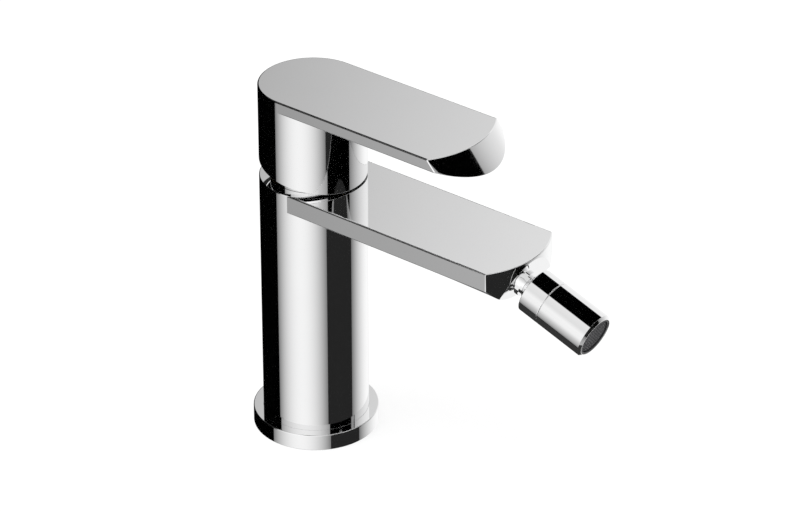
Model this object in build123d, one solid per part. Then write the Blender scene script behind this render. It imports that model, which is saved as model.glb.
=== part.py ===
from build123d import *
from math import asin, cos, degrees, radians, sin, sqrt, tan
import os

# Single-lever bidet mixer. The origin is the centre of the base's underside, on the deck.
# +Z is up, +X points along the spout towards the user, and the XZ plane is the plane of symmetry.

# Allowances used all over the part
overrun = 1.0           # how far a cutter runs past the face that it opens
turn_gap = 0.05         # radial gap of a shaft or pin that turns
fit_gap = 0.02          # radial gap of a piece that is fitted once
pass_gap = 0.25         # gap between faces of different bodies that pass each other
edge_round = 0.4        # rounding of the plated edges
lever_edge_round = 0.5  # rounding round the top of the lever
foot_round = 0.2        # rounding of small edges

# Body: a cast tube, open below, with a floor that carries the cartridge
body_radius = 23.0
body_top = 121.8
body_wall = 3.4
floor_thickness = 14.0
chamber_wall = 4.2
cartridge_seat_depth = 25.8   # from the body's top down to the floor that carries the cartridge
thread_wall = 3.9

# Base ring and its seal
ring_flange_width = 4.35      # how far the ring stands out from the body
ring_height = 7.35
ring_ledge_height = 3.0
ring_ledge_width = 2.6
seal_groove_margin = 1.95     # from the ring's edge in to the groove
seal_groove_width = 2.2
seal_groove_depth = 1.5

# Connections below: two M10x1 inlets in the floor and one M8 hole for the fixing stud
inlet_tap_radius = 4.5
inlet_tap_depth = 9.0
inlet_spacing_share = 17.0 / 23.0    # of the body's radius
inlet_offset_share = 4.0 / 23.0
stud_tap_radius = 3.4
stud_tap_depth = 17.0
stud_boss_overlap = 0.2       # how far the boss sinks into the wall
stud_boss_radius = 6.2
stud_boss_height = 22.0

# Spout: flat on top, straight at the sides, with a crowned underside that deepens towards its end
spout_inset = 0.4             # each side of the spout, in from the body's sides
spout_side_height = 8.2
spout_corner_reach = 109.0
spout_end_bulge = 7.4
spout_root_crown = 2.4
spout_end_crown = 10.6
spout_wall = 2.6
spout_core_start_wall = 4.0
spout_core_end_wall = 13.0
spout_feed_radius = 2.6
spout_feed_drop = 6.0

# Facet, ball nipple and swivelling nozzle, all on one axis that points down and forwards
nozzle_angle = 18.92        # degrees below the horizontal
nozzle_axis_ahead = 3.27    # where the axis leaves the facet, beyond the spout's corners
nozzle_axis_drop = 12.95    # and below the spout's top
facet_to_ball = 7.76
neck_radius = 4.5
nipple_bore_radius = 2.9
flange_radius = 5.8
flange_thickness = 1.0
nipple_thread_radius = 5.0
nipple_thread_length = 10.0
nipple_seal_width = 0.7
nipple_seal_depth = 0.8
ball_cut_share = 5.0 / 7.4  # flat on the front of the ball, from its centre, as a share of its radius

nozzle_radius = 9.95
mouth_radius = 6.6
mouth_back = 4.1            # from the ball's centre back to the mouth of the sleeve
sleeve_shoulder_back = 2.67
sleeve_lip_back = 2.5
sleeve_front = 6.8
sleeve_wall = 1.2
seam_chamfer = 0.15
housing_front = 30.2
housing_wall = 1.35
housing_back_wall = 2.0
housing_rim_chamfer = 1.1
spigot_start = 4.9
spigot_wall = 1.43
seat_start = 0.2            # ahead of the ball's centre, so that it clears the lip when it swings
seat_front = 4.0
seat_thickness = 0.95
seat_ball_gap = 0.15
seat_sleeve_gap = 0.25

# Aerator inside the front sleeve, stations measured from the ball's centre
regulator_back = 11.0
regulator_thickness = 3.0
regulator_hole_radius = 1.1
regulator_hole_circle = 4.2
regulator_hole_count = 6
gasket_back = 15.0
gasket_thickness = 1.4
gasket_width = 2.0
insert_wall = 0.8
insert_lip_recess = 0.2     # how far the insert's lip lies inside the rim
insert_recess = 0.6         # the same for the mesh
insert_rib_count = 6
insert_rib_thickness = 0.8
insert_rib_depth = 3.0
insert_hub_radius = 1.6
mesh_thickness = 0.7
mesh_pitch = 1.75
mesh_hole = 1.15
mesh_rim = 0.9

# Lever: hub and plate in one casting
lever_rise = 42.9             # from the body's top to the lever's top
lever_side_height = 5.0
lever_crown = 4.8
lever_corner_reach = 79.2
lever_end_bulge = 7.3
lever_tip_lean = 0.705       # how far the tip's corners lean outwards for each unit of drop
lever_tip_middle_lean = 0.87 # the same in the middle of the tip
hub_bottom_rise = 4.9        # above the body's top, at the axis
hub_bottom_slope = 0.184     # the rear is higher, which lets the hub tilt back
hub_wall = 2.8
hub_roof = 8.7
hub_boss_radius = 8.6
hub_boss_rise = 12.2          # above the body's top
socket_depth = 18.0
screw_above_boss = 7.0
screw_radius = 2.5
screw_length = 7.0
screw_socket_radius = 1.25
screw_socket_depth = 2.5
plug_radius = 3.4
plug_thickness = 2.4

# Collar that hides the cartridge below the hub
collar_setback = 4.8          # in from the body's side
collar_wall = 1.3
collar_straight_rise = 6.5
collar_crown = 4.6
collar_lip_width = 4.7

# Cartridge, stations up from the floor of the chamber and radii as shares of its own radius
cartridge_gap = 1.3
base_thickness = 4.5
disc_thickness = 3.0
fixed_disc_share = 0.8
moving_disc_share = 0.64
carrier_share = 0.674
carrier_thickness = 4.6
guide_flange_share = 0.789
guide_flange_thickness = 2.2
guide_share = 0.572
guide_top_rise = 6.0         # top of the guide above the pivot
housing_inner_share = 0.817
housing_top_thickness = 2.5
stack_gap = 0.15             # play between the turning pieces of the stack
port_radius_share = 0.149
port_offset_share = 0.286
port_spacing_share = 0.743
outlet_offset_share = 0.389
outlet_radius_share = 0.183
port_seal_section = 0.9
port_seal_gland = 1.4
pocket_share = 0.857
pocket_depth = 1.6
outlet_slot_height = 2.6
peg_radius = 1.6
peg_length = 1.8
peg_circle_share = 0.8

# Stem and its pin
pivot_above_floor = 24.0
ball_end_radius = 2.2
pivot_to_ball_end = 11.0
stem_neck_radius = 1.6
stem_thickness = 5.0
stem_width = 6.0
stem_square = 7.8
stem_square_start = 9.0      # above the pivot
pin_radius = 1.5
pin_length_share = 0.97       # of the cartridge's radius
lift_limit = 20.0            # degrees
temperature_limit = 45.0     # degrees each way

# Limit ring and the tab on the guide that runs against it
limit_ring_play = 0.64       # from the ring to the bore of the nut
limit_ring_height = 1.8
tab_half_angle = 12.0        # degrees
tab_setback = 1.05           # in from the ring's outer edge
tab_clear_angle = 2.0        # degrees

# Nut that clamps the cartridge
nut_rim_height = 1.8
nut_spigot_wall = 1.8
nut_spigot_rise = 4.2
nut_key_count = 6
nut_key_width = 3.0

# Heights and radii that follow
ring_radius = body_radius + ring_flange_width
seal_groove_outer = ring_radius - seal_groove_margin
floor_top = body_top - cartridge_seat_depth
floor_bottom = floor_top - floor_thickness
chamber_radius = body_radius - chamber_wall
thread_radius = body_radius - thread_wall
inlet_spacing = body_radius * inlet_spacing_share
inlet_offset = -body_radius * inlet_offset_share
stud_offset = stud_boss_radius - stud_boss_overlap - (body_radius - body_wall)
cartridge_radius = chamber_radius - cartridge_gap
fixed_disc_radius = cartridge_radius * fixed_disc_share
moving_disc_radius = cartridge_radius * moving_disc_share
carrier_radius = cartridge_radius * carrier_share
guide_flange_radius = cartridge_radius * guide_flange_share
guide_radius = cartridge_radius * guide_share
housing_inner_radius = cartridge_radius * housing_inner_share
port_radius = cartridge_radius * port_radius_share
port_offset = -cartridge_radius * port_offset_share
port_half_spacing = cartridge_radius * port_spacing_share / 2
outlet_offset = cartridge_radius * outlet_offset_share
outlet_radius = cartridge_radius * outlet_radius_share
pocket_width = cartridge_radius * pocket_share
peg_circle = cartridge_radius * peg_circle_share
pin_length = cartridge_radius * pin_length_share
pivot_height = floor_top + pivot_above_floor
lift_travel_share = sin(radians(lift_limit))
disc_travel = pivot_to_ball_end * lift_travel_share
disc_offset = -disc_travel / 2
base_top = floor_top + base_thickness
fixed_disc_top = base_top + disc_thickness
moving_disc_top = fixed_disc_top + disc_thickness
carrier_top = moving_disc_top + carrier_thickness
guide_bottom = carrier_top + stack_gap
guide_shoulder = guide_bottom + guide_flange_thickness
housing_ceiling = guide_shoulder + stack_gap
housing_top = housing_ceiling + housing_top_thickness
guide_top = pivot_height + guide_top_rise
ball_end_height = pivot_height - pivot_to_ball_end
nut_top = body_top - foot_round
nut_bore_radius = cartridge_radius - 2 * nut_spigot_wall
limit_ring_radius = nut_bore_radius - limit_ring_play
tab_reach = limit_ring_radius - tab_setback
lever_top = body_top + lever_rise
hub_bottom_height = body_top + hub_bottom_rise
hub_ceiling = lever_top - hub_roof
hub_boss_bottom = body_top + hub_boss_rise
screw_height = hub_boss_bottom + screw_above_boss
hub_inner_radius = body_radius - hub_wall
collar_radius = body_radius - collar_setback
collar_straight_top = body_top + collar_straight_rise
collar_mouth_radius = collar_radius - collar_lip_width
ring_bore_radius = body_radius - ring_ledge_width
spout_top = body_top
spout_half_width = body_radius - spout_inset
spout_core_start = body_radius + spout_core_start_wall
spout_core_end = spout_corner_reach - spout_core_end_wall
spout_end_reach = spout_corner_reach + spout_end_bulge
sleeve_bore_radius = nozzle_radius - sleeve_wall
seat_outer_radius = sleeve_bore_radius - seat_sleeve_gap
ball_radius = seat_outer_radius - seat_thickness - seat_ball_gap
ball_cut = ball_radius * ball_cut_share
spigot_radius = sleeve_bore_radius - fit_gap
spigot_inner_radius = spigot_radius - spigot_wall
lever_end_reach = lever_corner_reach + lever_end_bulge

# Local frame of the nozzle: its Z runs along the axis, out of the facet, from the ball's centre
nozzle_direction = Vector(cos(radians(nozzle_angle)), 0, -sin(radians(nozzle_angle)))
facet_centre = Vector(spout_corner_reach + nozzle_axis_ahead, 0, spout_top - nozzle_axis_drop)
ball_centre = facet_centre + nozzle_direction * facet_to_ball
nozzle_frame = Plane(origin=ball_centre, x_dir=(0, 1, 0), z_dir=nozzle_direction).location
facet_frame = Plane(origin=facet_centre, x_dir=(0, 1, 0), z_dir=nozzle_direction).location


def rod(radius, low, high):
    """Solid round bar about Z between two heights."""
    return Pos(0, 0, low) * extrude(Circle(radius), high - low)


def tube(inner, outer, low, high):
    """Round tube about Z between two heights."""
    return Pos(0, 0, low) * extrude(Circle(outer) - Circle(inner), high - low)


def turned(*points):
    """Solid turned about Z from an outline of (radius, height) points."""
    outline = Polyline(*points, close=True)
    return revolve(Plane.XZ * make_face(outline), Axis.Z)


def save(node, shape):
    export_step(shape, f"parts/{node}.step")


def circle_through(half_chord, bulge):
    """Radius of the arc with this half chord and this height."""
    return (half_chord ** 2 + bulge ** 2) / (2 * bulge)


def plan_outline(half_width, corner_reach, bulge):
    """Trimming face in plan: an arc across the far end, and sides that stand clear of the bar."""
    side = half_width + overrun
    arc = ThreePointArc((corner_reach, -half_width), (corner_reach + bulge, 0),
                        (corner_reach, half_width))
    rest = Polyline((corner_reach, half_width), (corner_reach, side), (-side, side), (-side, -side),
                    (corner_reach, -side), (corner_reach, -half_width))
    return make_face([arc, *rest.edges()])


def crowned_section(reach, half_width, top, side_height, crown):
    """Cross-section at one reach: flat top, straight sides and an underside that is one arc."""
    side_bottom = top - side_height
    far_top = (reach, half_width, top)
    near_top = (reach, -half_width, top)
    near_bottom = (reach, -half_width, side_bottom)
    far_bottom = (reach, half_width, side_bottom)
    middle = (reach, 0, side_bottom - crown)
    lines = [Line(far_top, near_top), Line(near_top, near_bottom)]
    lines += [ThreePointArc(near_bottom, middle, far_bottom), Line(far_bottom, far_top)]
    return make_face(lines)


# Base ring: turned brass with a ledge that the body stands on, and a groove for the seal below
def make_base_ring():
    ring = tube(ring_bore_radius, ring_radius, 0, ring_height)
    ring = ring - rod(body_radius + fit_gap, ring_ledge_height, ring_height + overrun)
    outer_top = ring.edges().filter_by(GeomType.CIRCLE).group_by(Axis.Z)[-1].sort_by(SortBy.RADIUS)[-1]
    ring = fillet(outer_top, edge_round)
    groove_inner = seal_groove_outer - seal_groove_width
    return ring - tube(groove_inner, seal_groove_outer, -overrun, seal_groove_depth)


# Base seal: flat rubber ring in the groove, flush with the underside
def make_base_seal():
    groove_inner = seal_groove_outer - seal_groove_width
    return tube(groove_inner + fit_gap, seal_groove_outer - fit_gap, 0, seal_groove_depth)


# Body: outer envelope first, because the spout is cut to it
def body_envelope():
    envelope = rod(body_radius, ring_ledge_height, body_top)
    return fillet(envelope.edges().group_by(Axis.Z)[-1], edge_round)


def make_body(envelope):
    skirt = rod(body_radius - body_wall, ring_ledge_height - overrun, floor_bottom)
    boss = rod(stud_boss_radius, ring_ledge_height, ring_ledge_height + stud_boss_height)
    boss = Pos(stud_offset, 0, 0) * boss
    body = envelope - (skirt - boss)
    body = body - rod(chamber_radius, floor_top, body_top + overrun)
    body = body - rod(thread_radius, housing_top, body_top + overrun)
    stud_hole = rod(stud_tap_radius, ring_ledge_height - overrun, ring_ledge_height + stud_tap_depth)
    body = body - Pos(stud_offset, 0, 0) * stud_hole
    for side in (-1, 1):
        tapped = rod(inlet_tap_radius, floor_bottom - overrun, floor_bottom + inlet_tap_depth)
        body = body - Pos(inlet_offset, side * inlet_spacing / 2, 0) * tapped
        passage = rod(port_radius, floor_bottom + inlet_tap_depth, floor_top + overrun)
        body = body - Pos(port_offset, side * port_half_spacing, 0) * passage
    for peg in peg_places():
        body = body - peg * rod(peg_radius + fit_gap, floor_top - peg_length, floor_top + overrun)
    feed_height = spout_top - spout_feed_drop
    feed_location = Location((chamber_radius - overrun, 0, feed_height), (0, 90, 0))
    feed = extrude(Circle(spout_feed_radius), body_radius + 2 * overrun - chamber_radius)
    return body - feed_location * feed


def peg_places():
    return [Pos(0, side * peg_circle, 0) for side in (-1, 1)]


# Spout: lofted from a shallow root to a deep end, trimmed in plan, faceted for the nipple and cored
def make_spout(envelope):
    far_reach = spout_end_reach + 2 * overrun
    root = crowned_section(0, spout_half_width, spout_top, spout_side_height, spout_root_crown)
    end = crowned_section(far_reach, spout_half_width, spout_top, spout_side_height, spout_end_crown)
    bar = loft([root, end], ruled=True)
    plan = plan_outline(spout_half_width, spout_corner_reach, spout_end_bulge)
    bar = bar & Pos(0, 0, spout_top - 2 * body_radius) * extrude(plan, 2 * body_radius + overrun)
    top_edges = bar.edges().filter_by(on_top_outline)
    bar = fillet(top_edges, edge_round)
    beyond = facet_frame * Box(4 * body_radius, 4 * body_radius, 2 * body_radius,
                               align=(Align.CENTER, Align.CENTER, Align.MIN))
    bar = bar - beyond
    bar = bar - envelope
    core_top = spout_top - spout_wall
    core_half = spout_half_width - spout_wall
    core_side = spout_side_height - 2 * spout_wall
    core_root = crowned_section(spout_core_start, core_half, core_top, core_side, spout_root_crown)
    core_end = crowned_section(spout_core_end, core_half, core_top, core_side, core_end_crown())
    bar = bar - loft([core_root, core_end], ruled=True)
    feed_location = Location((body_radius - overrun, 0, spout_top - spout_feed_drop), (0, 90, 0))
    feed_length = spout_core_start + 2 * overrun - body_radius
    bar = bar - feed_location * extrude(Circle(spout_feed_radius), feed_length)
    thread = rod(nipple_thread_radius + fit_gap, -nipple_thread_length - overrun, overrun)
    bar = bar - facet_frame * thread
    outlet = rod(nipple_bore_radius, -nipple_thread_length - 2 * spout_side_height, 0)
    bar = bar - facet_frame * outlet
    recess = rod(nipple_thread_radius + nipple_seal_width, -nipple_seal_depth, overrun)
    return bar - facet_frame * recess


def core_end_crown():
    share = spout_core_end / (spout_end_reach + 2 * overrun)
    return spout_root_crown + (spout_end_crown - spout_root_crown) * share


def on_top_outline(edge):
    """Edges of the flat top, without the one across the root."""
    middle = edge.center()
    return abs(middle.Z - spout_top) < foot_round and middle.X > overrun


# Ball nipple: screwed into the facet, with a ball on its end
def make_ball_nipple():
    back = -facet_to_ball - nipple_thread_length
    shank = rod(nipple_thread_radius, back, -facet_to_ball)
    flange = rod(flange_radius, -facet_to_ball, -facet_to_ball + flange_thickness)
    neck = rod(neck_radius, -facet_to_ball, 0)
    ball = Sphere(ball_radius) & rod(ball_radius, -ball_radius, ball_cut)
    nipple = shank + flange + neck + ball
    nipple = nipple - rod(nipple_bore_radius, back - overrun, ball_cut + overrun)
    return nozzle_frame * nipple


def make_nipple_seal():
    outer = nipple_thread_radius + nipple_seal_width - fit_gap
    ring = tube(nipple_thread_radius + fit_gap, outer, -nipple_seal_depth, 0)
    return facet_frame * ring


# Ball seat: a spherical cup of slippery plastic between the ball and the sleeve
def make_ball_seat():
    cup = Sphere(seat_outer_radius) - Sphere(ball_radius + seat_ball_gap)
    band = rod(nozzle_radius, seat_start, seat_front)
    return nozzle_frame * (cup & band)


# Rear sleeve: traps the ball with its lip and takes the thread of the front sleeve
def make_swivel_sleeve():
    outside = turned((0, -mouth_back), (mouth_radius, -mouth_back),
                     (nozzle_radius, -sleeve_shoulder_back), (nozzle_radius, sleeve_front - seam_chamfer),
                     (nozzle_radius - seam_chamfer, sleeve_front), (0, sleeve_front))
    bore = rod(sleeve_bore_radius, -sleeve_lip_back, sleeve_front + overrun)
    mouth_slope = mouth_radius / mouth_back
    mouth = turned((0, 0), (0, -2 * mouth_back), (2 * mouth_back * mouth_slope, -2 * mouth_back))
    return nozzle_frame * (outside - bore - Sphere(ball_radius + pass_gap) - mouth)


# Front sleeve: aerator housing with a spigot into the rear sleeve
def housing_bore_radius():
    return nozzle_radius - housing_wall


def make_aerator_housing():
    rim = housing_front - housing_rim_chamfer
    outside = turned((0, sleeve_front), (nozzle_radius - seam_chamfer, sleeve_front),
                     (nozzle_radius, sleeve_front + seam_chamfer), (nozzle_radius, rim),
                     (nozzle_radius - housing_rim_chamfer, housing_front), (0, housing_front))
    spigot = rod(spigot_radius, spigot_start, sleeve_front + overrun)
    housing = outside + spigot
    housing = housing - rod(spigot_inner_radius, spigot_start - overrun, regulator_back)
    regulator_bore = nozzle_radius - housing_back_wall
    housing = housing - rod(regulator_bore, regulator_back, gasket_back)
    return nozzle_frame * (housing - rod(housing_bore_radius(), gasket_back, housing_front + overrun))


# Flow regulator: moulded disc with a ring of holes
def make_flow_regulator():
    front = regulator_back + regulator_thickness
    disc = rod(nozzle_radius - housing_back_wall - fit_gap, regulator_back, front)
    hole = rod(regulator_hole_radius, regulator_back - overrun, front + overrun)
    holes = [Rot(0, 0, 360 * turn / regulator_hole_count) * Pos(regulator_hole_circle, 0, 0) * hole
             for turn in range(regulator_hole_count)]
    dish_radius = regulator_hole_circle - regulator_hole_radius - foot_round
    dish = rod(dish_radius, regulator_back - overrun, regulator_back + regulator_thickness / 2)
    return nozzle_frame * (disc - holes - dish)


# Aerator gasket: rubber ring on the step of the housing
def make_aerator_gasket():
    outer = housing_bore_radius() - fit_gap
    return nozzle_frame * tube(outer - gasket_width, outer, gasket_back, gasket_back + gasket_thickness)


# Aerator insert: plastic cup with radial ribs that carry the mesh
def insert_stations():
    back = gasket_back + gasket_thickness
    front = housing_front - insert_recess - mesh_thickness
    return back, front


def make_aerator_insert():
    back, front = insert_stations()
    outer = housing_bore_radius() - fit_gap
    shell = tube(outer - insert_wall, outer, back, housing_front - insert_lip_recess)
    floor = rod(outer - insert_wall / 2, back, back + insert_wall)
    hole = rod(regulator_hole_radius, back - overrun, back + insert_wall + overrun)
    holes = [Rot(0, 0, 360 * turn / insert_rib_count) * Pos(regulator_hole_circle, 0, 0) * hole
             for turn in range(insert_rib_count)]
    hub = rod(insert_hub_radius, back, front)
    rib = Box(outer - insert_wall / 2, insert_rib_thickness, insert_rib_depth,
              align=(Align.MIN, Align.CENTER, Align.MAX))
    ribs = [Rot(0, 0, 360 * (turn + 1 / 2) / insert_rib_count) * Pos(0, 0, front) * rib
            for turn in range(insert_rib_count)]
    return nozzle_frame * ((shell + floor + hub + ribs) - holes)


# Aerator mesh: pressed steel screen with square holes
def make_aerator_mesh():
    front = housing_front - insert_recess
    radius = housing_bore_radius() - insert_wall - fit_gap
    hole_reach = radius - mesh_rim
    steps = int(hole_reach / mesh_pitch)
    square = Rectangle(mesh_hole, mesh_hole)
    corner = mesh_hole / sqrt(2)
    places = [(column * mesh_pitch, row * mesh_pitch)
              for column in range(-steps, steps + 1) for row in range(-steps, steps + 1)]
    inside = [place for place in places if Vector(*place).length + corner < hole_reach]
    holes = [Pos(*place) * square for place in inside]
    plate = Pos(0, 0, front - mesh_thickness) * extrude(Circle(radius) - holes, mesh_thickness)
    return nozzle_frame * plate


# Cartridge base: moulded foot with the ports, pegs, and the slot that lets mixed water out sideways
def port_places():
    inlets = [(port_offset, -port_half_spacing), (port_offset, port_half_spacing)]
    return inlets + [(outlet_offset, 0)]


def make_cartridge_base():
    base = rod(cartridge_radius, floor_top, base_top)
    for peg in peg_places():
        base = base + peg * rod(peg_radius, floor_top - peg_length + foot_round, base_top)
    for place in port_places()[:2]:
        base = base - Pos(*place) * rod(port_radius, floor_top - overrun, base_top + overrun)
    slot_bottom = floor_top + (base_thickness - outlet_slot_height) / 2
    base = base - Pos(outlet_offset, 0, 0) * rod(outlet_radius, slot_bottom, base_top + overrun)
    slot = Box(cartridge_radius + overrun - outlet_offset, 2 * outlet_radius, outlet_slot_height,
               align=(Align.MIN, Align.CENTER, Align.MIN))
    base = base - Pos(outlet_offset, 0, slot_bottom) * slot
    for place in port_places()[:2]:
        base = base - Pos(*place) * seal_gland(floor_top - overrun, floor_top + port_seal_section)
    for place in port_places():
        base = base - Pos(*place) * seal_gland(base_top - port_seal_section, base_top + overrun)
    return base


def seal_gland(low, high):
    return rod(outlet_radius + port_seal_gland, low, high)


# Port seals below the base and disc seals above it: square-section rubber rings in their glands
def make_seal_ring(low, high):
    outer = outlet_radius + port_seal_gland - fit_gap
    return tube(outlet_radius, outer, low, high)


def make_port_seals():
    rings = [Pos(*place) * make_seal_ring(floor_top, floor_top + port_seal_section)
             for place in port_places()[:2]]
    return Compound(children=rings)


def make_disc_seals():
    rings = [Pos(*place) * make_seal_ring(base_top - port_seal_section, base_top)
             for place in port_places()]
    return Compound(children=rings)


# Ceramic discs: the fixed one has the three ports, the moving one a mixing pocket in its underside
def make_fixed_disc():
    disc = rod(fixed_disc_radius, base_top, fixed_disc_top)
    for place in port_places():
        disc = disc - Pos(*place) * rod(port_radius, base_top - overrun, fixed_disc_top + overrun)
    return disc


def make_moving_disc():
    disc = rod(moving_disc_radius, fixed_disc_top, moving_disc_top)
    pocket = RectangleRounded(pocket_width, pocket_width, pocket_width / 3)
    pocket = Pos(0, 0, fixed_disc_top - overrun) * extrude(pocket, pocket_depth + overrun)
    return Pos(disc_offset, 0, 0) * (disc - pocket)


# Disc carrier: moulded cap on the moving disc, with a round hole for the ball end of the stem
def make_disc_carrier():
    carrier = Pos(disc_offset, 0, 0) * rod(carrier_radius, moving_disc_top, carrier_top)
    hole_bottom = ball_end_height - ball_end_radius - pass_gap
    return carrier - rod(ball_end_radius + pass_gap, hole_bottom, carrier_top + overrun)


# Cartridge housing: moulded shell over the stack, open below
def make_cartridge_housing():
    shell = rod(cartridge_radius, base_top, housing_top)
    shell = shell - rod(housing_inner_radius, base_top - overrun, housing_ceiling)
    return shell - rod(guide_radius + turn_gap, housing_ceiling - overrun, housing_top + overrun)


# Turning guide: carries the stem's pin, slotted for the stem's rocking, with a tab for the limit ring
def make_stem_guide():
    guide = rod(guide_flange_radius, guide_bottom, guide_shoulder)
    guide = guide + rod(guide_radius, guide_bottom, guide_top)
    tab_low = housing_top + stack_gap
    tab = sector(guide_radius - overrun, tab_reach, 180 - tab_half_angle, 180 + tab_half_angle)
    guide = guide + Pos(0, 0, tab_low) * extrude(tab, limit_ring_height)
    guide = guide - rocking_slot()
    pin_hole = rod(pin_radius + fit_gap, -guide_radius - overrun, guide_radius + overrun)
    return guide - Location((0, 0, pivot_height), (90, 0, 0)) * pin_hole


def rocking_slot():
    """Slot in the XZ plane, wide enough for the stem's whole swing."""
    half = stem_width / 2 / cos(radians(lift_limit)) + pass_gap
    swing_share = tan(radians(lift_limit))
    above = guide_top + overrun - pivot_height
    below = pivot_height - guide_bottom + overrun
    outline = Polyline((-half - above * swing_share, above), (half, above), (half, 0),
                       (half + below * swing_share, -below), (-half, -below), (-half, 0), close=True)
    slot = extrude(Plane.XZ * make_face(outline), stem_thickness / 2 + turn_gap, both=True)
    return Pos(0, 0, pivot_height) * slot


def sector(inner, outer, start_angle, end_angle):
    """Part of a flat ring between two angles in degrees."""
    middle = (start_angle + end_angle) / 2
    lines = [arc_at(inner, start_angle, middle, end_angle)]
    lines += [Line(at_angle(inner, end_angle), at_angle(outer, end_angle))]
    lines += [arc_at(outer, end_angle, middle, start_angle)]
    lines += [Line(at_angle(outer, start_angle), at_angle(inner, start_angle))]
    return make_face(lines)


def at_angle(radius, angle):
    return (radius * cos(radians(angle)), radius * sin(radians(angle)))


def arc_at(radius, first, middle, last):
    return ThreePointArc(at_angle(radius, first), at_angle(radius, middle), at_angle(radius, last))


# Limit ring: an open ring whose ends stop the guide's tab, and so the hottest and coldest settings
def make_limit_ring():
    opening = tab_half_angle + temperature_limit + tab_clear_angle
    inner = guide_radius + pass_gap
    ring = sector(inner, limit_ring_radius, opening - 180, 180 - opening)
    return Pos(0, 0, housing_top) * extrude(ring, limit_ring_height)


# Cartridge nut: threaded into the body, with a spigot for the collar and key slots for the wrench
def nut_spigot_radius():
    return collar_radius - collar_wall


def make_cartridge_nut():
    nut = rod(thread_radius - fit_gap, housing_top, nut_top)
    nut = nut + rod(nut_spigot_radius() - fit_gap, housing_top, body_top + nut_spigot_rise)
    nut = nut - rod(nut_bore_radius, housing_top - overrun, body_top + nut_spigot_rise + overrun)
    key_depth = 2 * overrun + nut_spigot_radius() - nut_bore_radius
    key = Box(key_depth, nut_key_width, nut_rim_height + overrun,
              align=(Align.MIN, Align.CENTER, Align.MIN))
    key_bottom = body_top + nut_spigot_rise - nut_rim_height
    keys = [Rot(0, 0, 360 * turn / nut_key_count) * Pos(nut_bore_radius - overrun, 0, key_bottom) * key
            for turn in range(nut_key_count)]
    return nut - keys


# Collar: thin spun cover with a low crown, pushed over the nut's spigot
def make_collar():
    crown_top = collar_straight_top + collar_crown
    outside = crowned_cap(collar_radius, body_top, collar_straight_top, crown_top)
    inside = crowned_cap(collar_radius - collar_wall, body_top - overrun, collar_straight_top,
                         crown_top - collar_wall)
    return outside - inside - rod(collar_mouth_radius, body_top, crown_top + overrun)


def crowned_cap(radius, low, shoulder, top):
    """Round bar with a domed top."""
    crown = Line((0, low), (radius, low)) + Line((radius, low), (radius, shoulder))
    dome_radius = circle_through(radius, top - shoulder)
    half_radius = radius / 2
    half_height = top - dome_radius + sqrt(dome_radius ** 2 - half_radius ** 2)
    crown += ThreePointArc((radius, shoulder), (half_radius, half_height), (0, top))
    crown += Line((0, top), (0, low))
    return revolve(Plane.XZ * make_face(crown), Axis.Z)


# Stem: ball end below, flat where the pin goes through, square where the lever sits
def make_stem():
    ball = Pos(0, 0, -pivot_to_ball_end) * Sphere(ball_end_radius)
    neck = rod(stem_neck_radius, -pivot_to_ball_end, -stem_width / 2)
    flat_height = stem_width / 2 + stem_square_start
    flat = Pos(0, 0, -stem_width / 2) * Box(stem_width, stem_thickness, flat_height,
                                            align=(Align.CENTER, Align.CENTER, Align.MIN))
    square_top = hub_boss_bottom + socket_depth - foot_round - pivot_height
    square = Pos(0, 0, stem_square_start) * Box(stem_square, stem_square, square_top - stem_square_start,
                                                align=(Align.CENTER, Align.CENTER, Align.MIN))
    stem = ball + neck + flat + square
    pin_hole = rod(pin_radius + turn_gap, -stem_square, stem_square)
    return Pos(0, 0, pivot_height) * (stem - Rot(90, 0, 0) * pin_hole)


def make_stem_pin():
    pin = rod(pin_radius, -pin_length / 2, pin_length / 2)
    return Location((0, 0, pivot_height), (90, 0, 0)) * pin


# Lever: plate with a crowned underside and a leaning tip, joined to a hollow hub
def make_lever():
    drop = lever_side_height + lever_crown + overrun
    far_reach = lever_end_reach + drop * lever_tip_middle_lean + overrun
    plate = extrude(crowned_section(0, body_radius, lever_top, lever_side_height, lever_crown),
                    far_reach, dir=(1, 0, 0))
    plate = plate & loft([lever_plan(overrun), lever_plan(-drop)], ruled=True)
    hub = hub_outside()
    lever = plate + hub
    top_edges = lever.edges().filter_by(on_lever_top)
    lever = fillet(top_edges, lever_edge_round)
    cavity = rod(hub_inner_radius, body_top - overrun, hub_ceiling)
    cavity = cavity - rod(hub_boss_radius, hub_boss_bottom, hub_ceiling)
    lever = lever - cavity
    socket = Box(stem_square + 2 * fit_gap, stem_square + 2 * fit_gap, socket_depth + overrun,
                 align=(Align.CENTER, Align.CENTER, Align.MIN))
    lever = lever - Pos(0, 0, hub_boss_bottom - overrun) * socket
    screw_hole = rod(screw_radius + fit_gap, 0, body_radius + overrun)
    lever = lever - rearward(screw_height) * screw_hole
    plug_hole = rod(plug_radius + fit_gap, hub_inner_radius - overrun, body_radius + overrun)
    return lever - rearward(screw_height) * plug_hole


def lever_plan(rise):
    """Trimming face of the lever at some rise above its top; the tip grows as it drops."""
    corner_reach = lever_corner_reach - rise * lever_tip_lean
    bulge = lever_end_bulge - rise * (lever_tip_middle_lean - lever_tip_lean)
    return Pos(0, 0, lever_top + rise) * plan_outline(body_radius, corner_reach, bulge)


def hub_outside():
    """Hub from its slanted bottom up to the top of the lever."""
    hub = rod(body_radius, body_top, lever_top)
    slant = degrees(asin(hub_bottom_slope))
    below = Location((0, 0, hub_bottom_height), (0, slant, 0)) * Box(
        4 * body_radius, 4 * body_radius, lever_rise, align=(Align.CENTER, Align.CENTER, Align.MAX))
    return hub - below


def on_lever_top(edge):
    return abs(edge.center().Z - lever_top) < foot_round


def rearward(height):
    """Frame on the axis at one height whose Z points to the rear."""
    return Location((0, 0, height), (0, -90, 0))


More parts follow.
